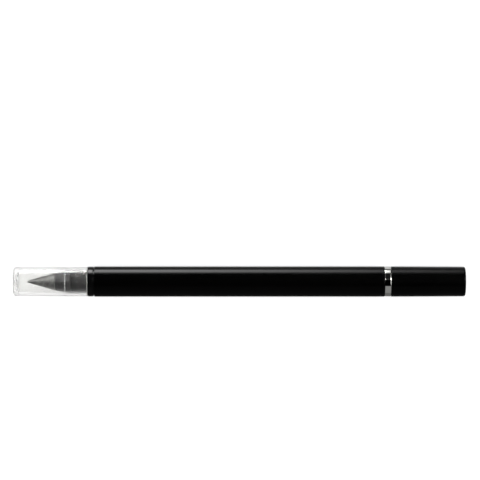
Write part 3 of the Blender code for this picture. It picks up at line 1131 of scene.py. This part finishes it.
@dataclass
class Barrel(SubAssembly):
    """Lacquered tube, the holder plugged into one end of it and the brass bush in the other."""

    wall: float = 0.7 * MM
    rim: float = 0.18 * MM
    holder_radius: float = 4.0 * MM
    holder_length: float = 5.75 * MM
    collar_width: float = 1.9 * MM
    plug_radius: float = 4.27 * MM
    stud_hole: float = STUD_HOLE
    refill_hole: float = REFILL_HOLE
    hole_relief: float = HOLE_RELIEF
    bead_place: float = 2.7 * MM
    bead_height: float = BEAD_HEIGHT
    bead_width: float = BEAD_WIDTH
    edge: float = 0.15 * MM
    bush_bore: float = 3.3 * MM
    thread_pitch: float = NOSE_THREAD_PITCH
    thread_depth: float = NOSE_THREAD_DEPTH

    def build(self) -> None:
        """Build the tube, the holder and the bush."""
        self._build_tube()
        self._build_holder()
        self._build_bush()

    def _build_tube(self) -> None:
        """Build the tube, rounded at both rims."""
        span = Span.of("barrel_tube")
        bore = span.radius - self.wall
        outline = Outline().to(span.start, bore, self.edge / 2).to(span.start, span.radius, self.rim)
        outline.to(span.end, span.radius, self.rim).to(span.end, bore, self.edge / 2)
        self.turn("barrel_sleeve", "barrel_tube", Body.BARREL, outline)

    def _build_holder(self) -> None:
        """Build the holder: stud hole, grip with its bead, collar, plug and refill socket."""
        span = Span.of("tip_holder")
        face = span.start + self.holder_length
        back = face + self.collar_width
        hole_end = Span.of("nib_stud").end + self.hole_relief
        socket_end = Span.of("refill_tail_plug").start - self.hole_relief
        outline = Outline().to(hole_end, 0.0).to(hole_end, self.stud_hole)
        outline.to(span.start, self.stud_hole, self.edge).to(span.start, self.holder_radius, self.edge)
        outline.bead(face - self.bead_place, self.holder_radius, self.bead_height, self.bead_width)
        outline.to(face, self.holder_radius, self.edge / 2).to(face, span.radius, self.edge)
        outline.to(back, span.radius, self.edge).to(back, self.plug_radius)
        outline.to(span.end, self.plug_radius, self.edge).to(span.end, self.refill_hole, self.edge)
        outline.to(socket_end, self.refill_hole).to(socket_end, 0.0)
        self.turn("holder_moulding", "tip_holder", Body.BARREL, outline)

    def _build_bush(self) -> None:
        """Build the bush, with the thread that takes the nose."""
        span = Span.of("thread_bush")
        outline = Outline().to(span.end, span.radius, self.edge)
        outline.to(span.end, self.bush_bore + self.edge)
        outline.straight(span.end - self.edge, span.start + self.edge, self.bush_bore, self.thread_pitch)
        outline.to(span.start, self.bush_bore + self.edge).to(span.start, span.radius, self.edge)
        thread = Thread(span.start, span.end, self.bush_bore, self.thread_pitch, -self.thread_depth)
        self.turn("bush_sleeve", "thread_bush", Body.BARREL, outline, relief=thread)

    def dress(self) -> None:
        """Finish the barrel."""
        self.coat("barrel_sleeve", BLACK_LACQUER, Slot.BARREL_LACQUER)
        self.coat("holder_moulding", HOLDER_GLOSS, Slot.HOLDER_PLASTIC)
        self.coat("bush_sleeve", TURNED_BRASS, Slot.BUSH_BRASS)


@dataclass
class Refill(SubAssembly):
    """Ink tube with its plug and ink, the ballpoint tip and the ball in it."""

    tube_wall: float = 0.4 * MM
    plug_head: float = 0.8 * MM
    vent: float = 0.4 * MM
    press: float = 0.03 * MM
    meniscus: float = 0.5 * MM
    edge: float = 0.08 * MM
    shank: float = 4.0 * MM
    shoulder: float = 1.0 * MM
    stem_radius: float = 1.05 * MM
    cone: float = 2.3 * MM
    cone_round: float = 0.32 * MM
    channel: float = 0.35 * MM
    socket: float = 0.55 * MM
    lip_angle: float = math.radians(60)
    lip: float = 0.12 * MM
    lip_round: float = 0.04 * MM
    groove_back: float = 3.1 * MM
    groove_depth: float = 0.14 * MM
    groove_width: float = 0.42 * MM

    def build(self) -> None:
        """Build the refill's pieces."""
        self._build_tube()
        self._build_ink()
        self._build_plug()
        self._build_point()
        self._build_ball()

    @property
    def stem_in_tube(self) -> float:
        """Radius of what is pressed into the tube."""
        return Span.of("refill_tube").radius - self.tube_wall - self.press

    def _build_tube(self) -> None:
        """Build the ink tube."""
        span = Span.of("refill_tube")
        bore = span.radius - self.tube_wall
        outline = Outline().to(span.start, bore, self.edge).to(span.start, span.radius, self.edge)
        outline.to(span.end, span.radius, self.edge).to(span.end, bore, self.edge)
        self.turn("ink_tube", "refill_tube", Body.REFILL, outline, Sides.SLIM)

    def _build_ink(self) -> None:
        """Build the ink, with a hollow meniscus at its tail."""
        span = Span.of("refill_ink")
        outline = Outline().to(span.end, 0.0).to(span.end, span.radius, self.edge)
        outline.to(span.start, span.radius)
        outline.through(dome(span.start + self.meniscus, span.radius, -self.meniscus)[1:])
        self.turn("ink_column", "refill_ink", Body.REFILL, outline, Sides.SLIM)

    def _build_plug(self) -> None:
        """Build the vented plug in the tube's tail."""
        span = Span.of("refill_tail_plug")
        head_end = span.start + self.plug_head
        outline = Outline().to(span.start, self.vent, self.edge)
        outline.to(span.start, span.radius, 2 * self.edge)
        outline.to(head_end, span.radius, self.edge).to(head_end, self.stem_in_tube, self.edge / 2)
        outline.to(span.end, self.stem_in_tube, 2 * self.edge).to(span.end, self.vent, self.edge)
        self.turn("tail_plug", "refill_tail_plug", Body.REFILL, outline, Sides.SLIM)

    def _build_point(self) -> None:
        """Build the tip: shank, shoulder, grooved stem, cone and the socket that holds the ball."""
        span, ball = Span.of("point_holder"), Span.of("writing_ball")
        tube_end = span.start + self.shank
        shoulder_end = tube_end + self.shoulder
        groove = span.end - self.groove_back
        groove_half = self.groove_width / 2
        lip_radius = self.socket * math.sin(self.lip_angle)
        outline = Outline().to(span.start, self.channel, self.edge)
        outline.to(span.start, self.stem_in_tube, self.edge).to(tube_end, self.stem_in_tube)
        outline.to(tube_end, span.radius, self.edge).to(shoulder_end, span.radius, self.edge)
        outline.to(shoulder_end, self.stem_radius)
        outline.to(groove - groove_half, self.stem_radius, self.edge / 2)
        outline.to(groove, self.stem_radius - self.groove_depth, self.edge / 2)
        outline.to(groove + groove_half, self.stem_radius, self.edge / 2)
        outline.to(span.end - self.cone, self.stem_radius, self.cone_round)
        outline.to(span.end, lip_radius + self.lip, self.lip_round)
        seat_angle = math.pi - math.asin(self.channel / self.socket)
        outline.through(arc(ball.middle, self.socket, self.lip_angle, seat_angle, Outline.CURVE_STEPS))
        self.turn("ballpoint_tip", "point_holder", Body.REFILL, outline, Sides.SLIM)

    def _build_ball(self) -> None:
        """Build the ball."""
        span = Span.of("writing_ball")
        half_circle = arc(span.middle, span.radius, math.pi, 0.0, 2 * Outline.CURVE_STEPS)
        outline = Outline().to(span.start, 0.0).through(half_circle[1:-1]).to(span.end, 0.0)
        self.turn("ballpoint_ball", "writing_ball", Body.BALL, outline, Sides.SLIM)

    def dress(self) -> None:
        """Finish the refill."""
        self.coat("ink_tube", TUBE_CLEAR, Slot.REFILL_PLASTIC)
        self.coat("ink_column", BLACK_INK, Slot.INK)
        self.coat("tail_plug", PLUG_NATURAL, Slot.PLUG_PLASTIC)
        self.coat("ballpoint_tip", NICKEL_SILVER, Slot.NICKEL_SILVER)
        self.coat("ballpoint_ball", GROUND_CARBIDE, Slot.BALL_CARBIDE)


@dataclass
class Nose(SubAssembly):
    """Chrome nose that screws into the barrel, and the ring on its tail."""

    refill_hole: float = REFILL_HOLE
    point_hole: float = 1.1 * MM
    shoulder_room: float = 1.1 * MM
    tail_radius: float = 3.25 * MM
    thread_runout: float = 0.55 * MM
    thread_pitch: float = NOSE_THREAD_PITCH
    thread_depth: float = NOSE_THREAD_DEPTH
    seat_gap: float = 0.05 * MM
    neck_length: float = 5.15 * MM
    neck_radius: float = 3.875 * MM
    bead_place: float = 2.45 * MM
    bead_height: float = BEAD_HEIGHT
    bead_width: float = BEAD_WIDTH
    cone_step: float = 0.13 * MM
    front_radius: float = 1.7 * MM
    ring_bore: float = 3.28 * MM
    ring_round: float = 0.32 * MM
    edge: float = 0.1 * MM

    def build(self) -> None:
        """Build the nose and the ring."""
        self._build_nose()
        self._build_ring()

    def _build_nose(self) -> None:
        """Build the nose: threaded tail, neck with its bead, and the hollow-curved cone."""
        span, ring = Span.of("nose_cone"), Span.of("centre_ring")
        thread_end = ring.start - self.thread_runout
        neck_start = ring.end + self.seat_gap
        neck_end = neck_start + self.neck_length
        bore_end = Span.of("refill_tube").end + self.shoulder_room
        outline = Outline().to(span.start, self.refill_hole, self.edge)
        outline.to(span.start, self.tail_radius - self.thread_depth, self.edge)
        outline.straight(span.start + self.thread_depth, thread_end, self.tail_radius, self.thread_pitch)
        outline.to(neck_start, self.tail_radius).to(neck_start, self.neck_radius, self.edge)
        outline.bead(neck_start + self.bead_place, self.neck_radius, self.bead_height, self.bead_width)
        outline.to(neck_end - self.cone_step, self.neck_radius, self.edge)
        root = self.neck_radius - self.cone_step
        for step in range(Outline.CURVE_STEPS):
            share = 1 - step / Outline.CURVE_STEPS
            station = span.end - (span.end - neck_end) * share
            outline.to(station, self.front_radius + (root - self.front_radius) * share**2)
        outline.to(span.end, self.front_radius, self.edge).to(span.end, self.point_hole, self.edge / 2)
        outline.to(bore_end, self.point_hole).to(bore_end, self.refill_hole)
        thread = Thread(span.start, thread_end, self.tail_radius, self.thread_pitch, self.thread_depth)
        self.turn("nose_turning", "nose_cone", Body.NOSE, outline, relief=thread)

    def _build_ring(self) -> None:
        """Build the ring, well rounded towards the cap."""
        span = Span.of("centre_ring")
        outline = Outline().to(span.start, self.ring_bore).to(span.start, span.radius, self.edge)
        outline.to(span.end, span.radius, self.ring_round).to(span.end, self.ring_bore)
        self.turn("chrome_ring", "centre_ring", Body.NOSE, outline)

    def dress(self) -> None:
        """Finish the nose."""
        self.coat("nose_turning", POLISHED_CHROME, Slot.CHROME)
        self.coat("chrome_ring", POLISHED_CHROME, Slot.CHROME)


@dataclass
class Cap(SubAssembly):
    """Lacquered cap over the ballpoint, and the fluted sleeve in it that grips the nose."""

    wall: float = 0.55 * MM
    taper: float = 0.125 * MM
    end_wall: float = 1.0 * MM
    end_edge: float = 0.55 * MM
    rim: float = 0.16 * MM
    liner_wall: float = 0.365 * MM
    liner_edge: float = 0.1 * MM
    flute_count: int = 8
    flute_depth: float = 0.14 * MM

    def build(self) -> None:
        """Build the cap and its sleeve."""
        self._build_shell()
        self._build_liner()

    def _build_shell(self) -> None:
        """Build the cap, which narrows a little towards its flat end."""
        span = Span.of("cap_shell")
        bore, inner_end = span.radius - self.wall, span.end - self.end_wall
        outline = Outline().to(span.end, 0.0).to(span.end, span.radius - self.taper, self.end_edge)
        outline.to(span.start, span.radius, self.rim).to(span.start, bore, self.rim / 2)
        outline.to(inner_end, bore, self.end_edge).to(inner_end, 0.0)
        self.turn("cap_sleeve", "cap_shell", Body.CAP, outline)

    def _build_liner(self) -> None:
        """Build the sleeve, with shallow flutes that let air past the nose's bead."""
        span = Span.of("cap_liner")
        bore = span.radius - self.liner_wall
        outline = Outline().to(span.start, bore + self.liner_edge)
        outline.to(span.start, span.radius, self.liner_edge / 2)
        outline.to(span.end, span.radius, self.liner_edge / 2)
        outline.to(span.end, bore).to(span.start + self.liner_edge, bore)
        flutes = Flutes(bore, self.flute_count, self.flute_depth)
        self.turn("cap_grip_liner", "cap_liner", Body.CAP, outline, relief=flutes)

    def dress(self) -> None:
        """Finish the cap."""
        self.coat("cap_sleeve", BLACK_LACQUER, Slot.BARREL_LACQUER)
        self.coat("cap_grip_liner", LINER_SATIN, Slot.LINER_PLASTIC)


# Studio


@dataclass(frozen=True)
class Direction:
    """Direction that is looked in, as values in the dome's graph.

    Along is its X, from -1 past the clear cap's end to 1 past the ballpoint cap's. Its angle goes round
    the pen in degrees: 0 is overhead, 90 the horizon behind the pen and -90 the one in front of it.
    """

    graph: Graph
    along: Wire
    up: Wire
    angle: Wire

    SOFTNESS: ClassVar[float] = 0.05

    @classmethod
    def of(cls, graph: Graph) -> "Direction":
        """Read the direction.

        Args:
            graph: The dome's graph.

        Returns:
            The direction.
        """
        looked_in = graph.wire("Generated", "ShaderNodeTexCoord")
        parts = graph.node("ShaderNodeSeparateXYZ", None, {"Vector": looked_in})
        along, back, up = (Wire(graph, output) for output in parts.outputs)
        return cls(graph, along, up, graph.maths("ARCTAN2", back, up) * math.degrees(1.0))

    def past(self, edge: float) -> Wire:
        """Tell whether it looks past an edge along the pen, away from the middle.

        Args:
            edge: The edge's place along, which is below 0 on the clear cap's side.

        Returns:
            1 past the edge and 0 elsewhere, with a soft change between them.
        """
        half = self.SOFTNESS / 2
        outwards = self.along * math.copysign(1.0, edge)
        return self.graph.step(outwards, abs(edge) - half, abs(edge) + half)


@dataclass(frozen=True)
class Band:
    """Soft-edged stretch of the light dome between two angles, which tilts as it goes along the pen."""

    start: float
    end: float
    level: float
    softness: float = 8.0
    tilt: float = 0.0

    def shine(self, way: Direction) -> Wire:
        """Work out the band's light.

        Args:
            way: The direction that is looked in.

        Returns:
            The band's light in that direction.
        """
        half = self.softness / 2
        angle = way.angle + self.tilt * way.along
        rise = way.graph.step(angle, self.start - half, self.start + half)
        fall = way.graph.step(angle, self.end - half, self.end + half)
        return self.level * (rise - fall)


@dataclass
class LightDome:
    """Light dome that the pen mirrors as dark, with a strip, bands and windows of light in it."""

    # What the camera sees, and what falls on matt surfaces
    sky: float = 1.0
    fill: float = 0.25

    # Strip behind the pen, which dims from the clear cap's side to the other
    strip: Band = Band(75.0, 103.0, 20.5, 17.0)
    strip_slant: float = 17.0
    strip_least: float = 0.05
    strip_most: float = 3.0
    strip_right: float = 0.09
    strip_left: float = -0.2
    strip_spill: float = 0.03

    # Bands along the whole pen, the low ones dimmer on the clear cap's side
    high_bands: tuple[Band, ...] = (
        Band(118.0, 180.0, 0.72, 12.0),
        Band(28.0, 78.0, 0.014, 10.0),
        Band(15.0, 26.0, 0.05, 6.0),
    )
    low_bands: tuple[Band, ...] = (Band(-99.0, -35.0, 0.31, 5.0), Band(-180.0, -99.0, 0.2))
    low_left: float = 0.22

    # Window past each end of the pen, and a narrow strip further out
    right_window: Band = Band(-2.0, 76.0, 1.3, 12.0, tilt=46.0)
    right_edge: float = 0.15
    left_window: Band = Band(6.0, 88.0, 0.42, 14.0)
    left_edge: float = -0.2
    end_strip: Band = Band(18.0, 34.0, 20.0, 8.0)
    end_right: float = 0.52
    end_left: float = -0.56
    end_left_share: float = 0.6

    # What is seen through clear plastic
    inside: float = 0.4
    inside_window: Band = Band(6.0, 170.0, 4.1, 14.0)
    inside_strip: float = 0.1
    horizon: float = 0.95
    horizon_rise: Range = (0.0, 0.2)

    def hang(self) -> None:
        """Build the dome and hang it round the scene."""
        world = bpy.data.worlds.new("studio_dome")
        world.use_nodes = True
        world.cycles.sampling_method = "NONE"
        bpy.context.scene.world = world
        graph = Graph(world.node_tree)
        way = Direction.of(graph)
        strip = self._strip_light(way)
        mirrored = self._windows(way) + self._bands(way) + strip
        through = self._inside(way) + self.inside_strip * strip
        path = graph.node("ShaderNodeLightPath")
        seen, matt, clear = (
            Wire(graph, path.outputs[name])
            for name in ("Is Camera Ray", "Is Diffuse Ray", "Is Transmission Ray")
        )
        level = seen * self.sky + matt * self.fill + clear * through
        level = level + (1.0 - seen - matt - clear) * mirrored
        background = graph.wire("Background", "ShaderNodeBackground", None, {"Strength": level})
        graph.node("ShaderNodeOutputWorld", None, {"Surface": background})

    def _strip_light(self, way: Direction) -> Wire:
        """Dim the strip evenly from the clear cap's side to the other, and end it on both sides.

        Args:
            way: The direction that is looked in.

        Returns:
            The strip's light.
        """
        slant = way.graph.maths("MAXIMUM", 1.0 - self.strip_slant * way.along, self.strip_least)
        slant = way.graph.maths("MINIMUM", slant, self.strip_most)
        ends = way.past(self.strip_right) + (1.0 - self.strip_spill) * way.past(self.strip_left)
        return self.strip.shine(way) * slant * (1.0 - ends)

    def _windows(self, way: Direction) -> Wire:
        """Add up the windows and the end strips.

        Args:
            way: The direction that is looked in.

        Returns:
            Their light.
        """
        left = way.past(self.left_edge) * self.left_window.shine(way)
        right = way.past(self.right_edge) * self.right_window.shine(way)
        ends = way.past(self.end_right) + self.end_left_share * way.past(self.end_left)
        return left + right + ends * self.end_strip.shine(way)

    def _bands(self, way: Direction) -> Wire:
        """Add up the high and the low bands.

        Args:
            way: The direction that is looked in.

        Returns:
            Their light.
        """
        high = sum(band.shine(way) for band in self.high_bands)
        low = sum(band.shine(way) for band in self.low_bands)
        return high + low * (1.0 - (1.0 - self.low_left) * way.past(self.left_edge))

    def _inside(self, way: Direction) -> Wire:
        """Add up what is seen through clear plastic, apart from the strip.

        Args:
            way: The direction that is looked in.

        Returns:
            Its light.
        """
        window = way.past(self.left_edge) * self.inside_window.shine(way)
        overhead = way.graph.step(way.up, *self.horizon_rise)
        return overhead * (self.inside + window) + (1.0 - overhead) * self.horizon


@dataclass
class Studio:
    """Pale floor, key light and the camera, which looks straight down on the pen."""

    floor_size: float = 4.0
    floor_cells: int = 8
    key_power: float = 92.8
    key_size: float = 0.45
    key_height: float = 3.0
    camera_place: tuple[float, float, float] = (0.18 * MM, 13.9 * MM, 907.4 * MM)
    lens: float = 202.5

    def hang_key(self) -> None:
        """Hang the key light over the pen, out of sight of its reflections."""
        lamp = bpy.data.lights.new("key_light", "AREA")
        lamp.energy = self.key_power
        lamp.size = self.key_size
        key = add_object("key_light", lamp, (0.0, 0.0, self.key_height))
        key.visible_camera = False
        key.visible_glossy = False
        key.visible_transmission = False

    def lay_floor(self) -> None:
        """Lay the pale floor."""
        cells = self.floor_cells
        work = bmesh.new()
        bmesh.ops.create_grid(work, x_segments=cells, y_segments=cells, size=self.floor_size / 2)
        mesh = bpy.data.meshes.new("floor_sheet")
        work.to_mesh(mesh)
        work.free()
        mesh.materials.append(PALE_SHEET.material())
        floor = add_object("floor_sheet", mesh, (0.0, 0.0, CAD_BOX[0].z))
        floor.visible_glossy = False

    def aim_camera(self) -> None:
        """Set the camera over the pen, with the pen a little below the middle of the picture."""
        lens = bpy.data.cameras.new("camera")
        lens.lens = self.lens
        bpy.context.scene.camera = add_object("camera", lens, self.camera_place)
        bpy.context.scene.view_settings.view_transform = "Standard"


def write_sizes() -> None:
    """Bring the view layer up to date."""
    bpy.context.view_layer.update()


def main() -> None:
    """Build and dress the pen from the clear cap to the ballpoint cap, then set up the studio."""
    logging.basicConfig(level=logging.INFO, format="%(message)s")
    for assembly in (ClearCap(), NibEnd(), Barrel(), Refill(), Nose(), Cap()):
        assembly.build()
        assembly.dress()
        for name, piece in assembly.pieces.items():
            LOG.info("%s: %s, %d faces", type(assembly).__name__, name, len(piece.data.polygons))
    LightDome().hang()
    studio = Studio()
    studio.hang_key()
    studio.lay_floor()
    studio.aim_camera()
    write_sizes()


if __name__ == "__main__":
    main()
